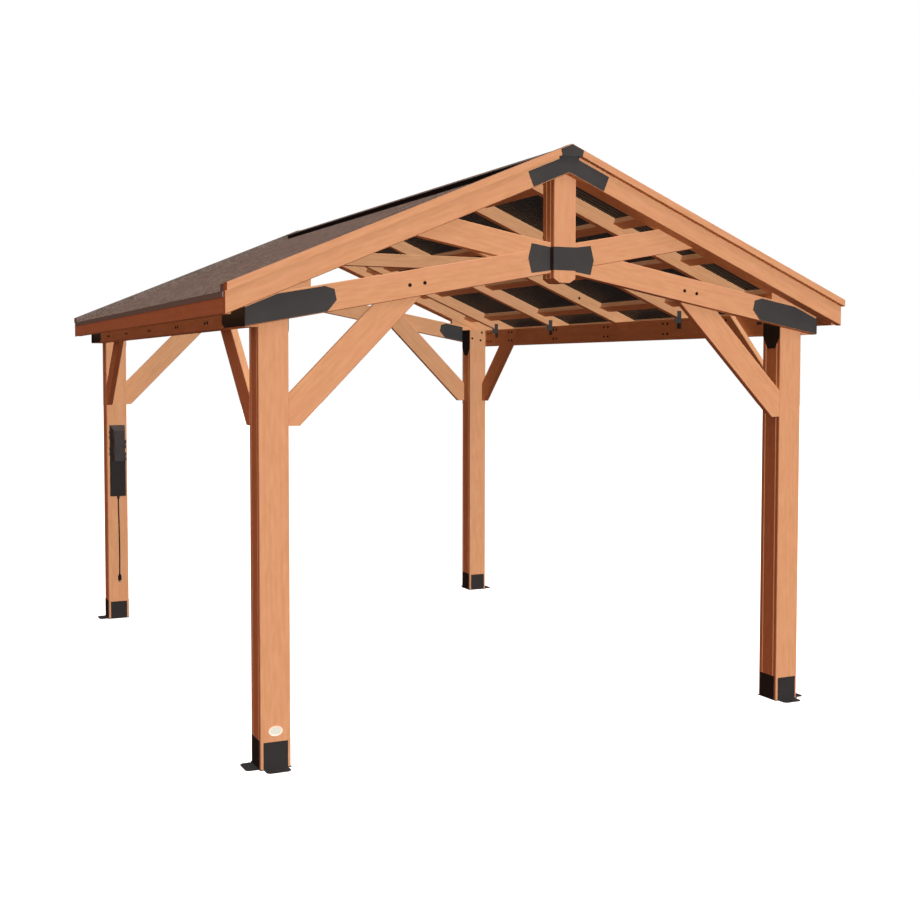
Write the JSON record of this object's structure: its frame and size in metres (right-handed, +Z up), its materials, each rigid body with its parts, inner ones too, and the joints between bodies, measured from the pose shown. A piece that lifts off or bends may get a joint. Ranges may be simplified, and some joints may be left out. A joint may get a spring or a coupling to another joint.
{
  "type": "garden gazebo",
  "caption": "Open timber garden gazebo with corner posts, knee braces, scissor trusses and a ribbed gable roof with a vented ridge.",
  "frame": {"origin": "centre of the footprint, on the ground plane that the post feet stand on", "axes": "+Y along the ridge towards the rear gable, +X to the right seen from the front gable, +Z up"},
  "size_m": [3.564, 4.392, 3.019],
  "materials": {
    "post_wood": "cedar boards with a clear brown stain, satin",
    "frame_wood": "planed cedar with a clear brown stain, satin",
    "trim_wood": "cedar facing boards with a clear brown stain, satin",
    "roof_sheet": "ribbed sheet with a dark granular top, matte",
    "edging_metal": "folded sheet, dark grey powder coat",
    "vent_plastic": "black vent strip, matte",
    "dark_steel": "plate, dark grey powder coat, satin",
    "box_plastic": "black moulding, fine grained",
    "cord_rubber": "black cord jacket, matte"
  },
  "bodies": {
    "root": {"apex_plates": "dark_steel", "collar_tie": "frame_wood", "cord_plug": "cord_rubber", "front_chord_left_foot": "frame_wood", "front_chord_right_foot": "frame_wood", "front_end_gussets": "dark_steel", "front_gable_braces": "frame_wood", "front_king_post": "frame_wood", "heel_blocks": "frame_wood", "inner_gussets": "dark_steel", "king_post_straps": "dark_steel", "left_eave_braces": "frame_wood", "left_eave_fascia": "trim_wood", "left_gable_fascias": "trim_wood", "left_header": "frame_wood", "left_purlins": "frame_wood", "left_rafters": "frame_wood", "left_rake_trims": "trim_wood", "left_roof_edging": "edging_metal", "left_roof_panel": "roof_sheet", "left_truss_rafters": "frame_wood", "outlet_box": "box_plastic", "outlet_cord": "cord_rubber", "post_feet": "dark_steel", "post_front_left": "post_wood", "post_front_right": "post_wood", "post_rear_left": "post_wood", "post_rear_right": "post_wood", "post_top_brackets": "dark_steel", "rafter_hooks": "dark_steel", "rear_chord_left_foot": "frame_wood", "rear_chord_right_foot": "frame_wood", "rear_end_gussets": "dark_steel", "rear_gable_braces": "frame_wood", "rear_king_post": "frame_wood", "ridge_cap": "roof_sheet", "ridge_vent": "vent_plastic", "right_eave_braces": "frame_wood", "right_eave_fascia": "trim_wood", "right_gable_fascias": "trim_wood", "right_header": "frame_wood", "right_purlins": "frame_wood", "right_rafters": "frame_wood", "right_rake_trims": "trim_wood", "right_roof_edging": "edging_metal", "right_roof_panel": "roof_sheet", "right_truss_rafters": "frame_wood"}
  },
  "joints": []
}
